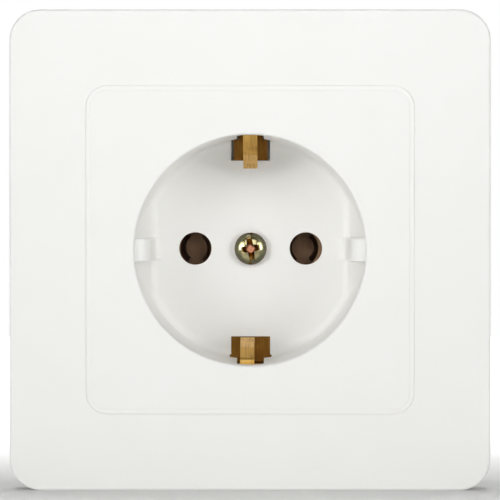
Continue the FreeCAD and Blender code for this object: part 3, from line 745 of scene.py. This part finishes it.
def white_world(scene):
    """A weak even fill from all around, and a white backdrop that only the camera sees."""
    world = bpy.data.worlds.new("studio_white")
    scene.world = world
    world.use_nodes = True
    tree = world.node_tree
    tree.nodes.clear()
    white = scene.socket_colours.backdrop
    seen = add_node(tree, "ShaderNodeLightPath").outputs["Is Camera Ray"]
    fill = add_node(tree, "ShaderNodeBackground", {"Color": white, "Strength": scene.socket_stage.fill})
    backdrop = add_node(tree, "ShaderNodeBackground", {"Color": white, "Strength": 1.0})
    both = add_node(
        tree, "ShaderNodeMixShader",
        {0: seen, 1: fill.outputs["Background"], 2: backdrop.outputs["Background"]}
    )
    add_node(tree, "ShaderNodeOutputWorld", {"Surface": both.outputs["Shader"]})
    # White stays white in the picture.
    scene.view_settings.view_transform = "Standard"


def place_camera(scene, face):
    """A long lens that looks at the middle of the face, nearly square on."""
    sizes = scene.socket_stage
    place = Vector((sizes.camera_side, face.y - sizes.camera_distance, sizes.camera_rise))
    turn = (face - place).to_track_quat("-Z", "Y").to_euler()
    bpy.ops.object.camera_add(location=place, rotation=turn)
    camera = bpy.context.object
    camera.name = "front_camera"
    camera.data.sensor_width = sizes.sensor_width
    camera.data.lens = sizes.lens
    scene.camera = camera


class SOCKET_OT_white_mouldings(bpy.types.Operator):
    """Finish the cover frame and the centre plate"""

    bl_idname = "socket.white_mouldings"
    bl_label = "White mouldings"

    def execute(self, context):
        give_finish(moulded_white(context.scene.socket_colours), "cover_frame", "centre_plate")
        return {"FINISHED"}


class SOCKET_OT_centre_screw(bpy.types.Operator):
    """Model the centre screw with its thread, slot and cross recess"""

    bl_idname = "socket.centre_screw"
    bl_label = "Centre screw"

    def execute(self, context):
        sizes = context.scene.socket_screw
        low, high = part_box("centre_screw")
        screw = turn_screw(sizes)
        screw.name = "centre_screw_plated"
        cut_head(screw, sizes)
        round_edges(screw, sizes.edge_round)
        # The crown looks into the room, at the front of the screw of the CAD model.
        screw.rotation_euler = (math.pi / 2, 0, 0)
        screw.rotation_euler.rotate_axis("Z", sizes.turn)
        screw.location = ((low.x + high.x) / 2, low.y + sizes.head_height, (low.z + high.z) / 2)
        bpy.ops.object.transform_apply(location=True, rotation=True, scale=True)
        screw.data.materials.append(yellow_zinc(context.scene.socket_colours, sizes, low.y))
        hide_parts("centre_screw")
        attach(screw, "root")
        return {"FINISHED"}


class SOCKET_OT_brass_strips(bpy.types.Operator):
    """Finish the earth bracket, the contacts and the bush"""

    bl_idname = "socket.brass_strips"
    bl_label = "Brass strips"

    def execute(self, context):
        colours = context.scene.socket_colours
        bracket_brass = rolled_brass("rolled_brass_strip", colours.brass, colours.brass_worn_and_shaded)
        # The contacts lie deep, so they take mostly the dull colour, a painted shade for the dark holes.
        contact_brass = rolled_brass("browned_and_shaded_brass_strip", colours.contact_brass, colours.contact_brass_worn_and_shaded)
        give_finish(bracket_brass, "earth_bracket", "centre_bush")
        give_finish(contact_brass, "line_contact", "neutral_contact")
        return {"FINISHED"}


class SOCKET_OT_base_mouldings(bpy.types.Operator):
    """Finish the base and its rear cover"""

    bl_idname = "socket.base_mouldings"
    bl_label = "Base mouldings"

    def execute(self, context):
        give_finish(moulded_base(context.scene.socket_colours), "base_housing", "rear_cover")
        return {"FINISHED"}


class SOCKET_OT_support_ring(bpy.types.Operator):
    """Finish the support ring"""

    bl_idname = "socket.support_ring"
    bl_label = "Support ring"

    def execute(self, context):
        give_finish(galvanised_sheet(context.scene.socket_colours), "support_ring")
        return {"FINISHED"}


class SOCKET_OT_contact_springs(bpy.types.Operator):
    """Finish the springs of the contacts"""

    bl_idname = "socket.contact_springs"
    bl_label = "Contact springs"

    def execute(self, context):
        give_finish(
            tempered_strip(context.scene.socket_colours), "line_contact_spring", "neutral_contact_spring"
        )
        return {"FINISHED"}


class SOCKET_OT_plated_screws(bpy.types.Operator):
    """Finish the wire clamps and the small screws"""

    bl_idname = "socket.plated_screws"
    bl_label = "Clamps and small screws"

    def execute(self, context):
        give_finish(
            bright_zinc(context.scene.socket_colours),
            "line_upper_clamp", "line_lower_clamp", "neutral_upper_clamp", "neutral_lower_clamp",
            "earth_left_clamp", "earth_right_clamp", "terminal_screws", "ring_screws", "rear_cover_screws"
        )
        return {"FINISHED"}


class SOCKET_OT_stage(bpy.types.Operator):
    """Set up the floor, the lights and the camera"""

    bl_idname = "socket.stage"
    bl_label = "Stage"

    def execute(self, context):
        scene = context.scene
        low = Vector(cad_box[0])
        face = Vector((0, low.y, 0))
        lay_floor(scene, low.z)
        hang_lights(scene.socket_stage, face, low.z)
        white_world(scene)
        place_camera(scene, face)
        return {"FINISHED"}


class SOCKET_PT_sidebar(bpy.types.Panel):
    """Sizes, colours and operators of the socket"""

    bl_idname = "SOCKET_PT_sidebar"
    bl_label = "Type F wall socket"
    bl_space_type = "VIEW_3D"
    bl_region_type = "UI"
    bl_category = "Socket"

    def draw(self, context):
        for operator in operators:
            self.layout.operator(operator.bl_idname)
        for group in (context.scene.socket_colours, context.scene.socket_screw, context.scene.socket_stage):
            box = self.layout.box()
            for name in group.__annotations__:
                box.prop(group, name)


operators = (
    SOCKET_OT_white_mouldings,
    SOCKET_OT_centre_screw,
    SOCKET_OT_brass_strips,
    SOCKET_OT_base_mouldings,
    SOCKET_OT_support_ring,
    SOCKET_OT_contact_springs,
    SOCKET_OT_plated_screws,
    SOCKET_OT_stage,
)
classes = (SocketColours, CentreScrewSizes, StageSizes) + operators + (SOCKET_PT_sidebar,)


def register():
    """Add the classes, and give each scene the colours and sizes."""
    for cls in classes:
        bpy.utils.register_class(cls)
    bpy.types.Scene.socket_colours = bpy.props.PointerProperty(type=SocketColours)
    bpy.types.Scene.socket_screw = bpy.props.PointerProperty(type=CentreScrewSizes)
    bpy.types.Scene.socket_stage = bpy.props.PointerProperty(type=StageSizes)


def unregister():
    """Take away what register added, in the opposite order."""
    del bpy.types.Scene.socket_stage
    del bpy.types.Scene.socket_screw
    del bpy.types.Scene.socket_colours
    for cls in reversed(classes):
        bpy.utils.unregister_class(cls)


def main():
    """Finish the pieces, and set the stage."""
    register()
    bpy.ops.socket.white_mouldings()
    bpy.ops.socket.centre_screw()
    bpy.ops.socket.brass_strips()
    bpy.ops.socket.base_mouldings()
    bpy.ops.socket.support_ring()
    bpy.ops.socket.contact_springs()
    bpy.ops.socket.plated_screws()
    bpy.ops.socket.stage()


if __name__ == "__main__":
    main()
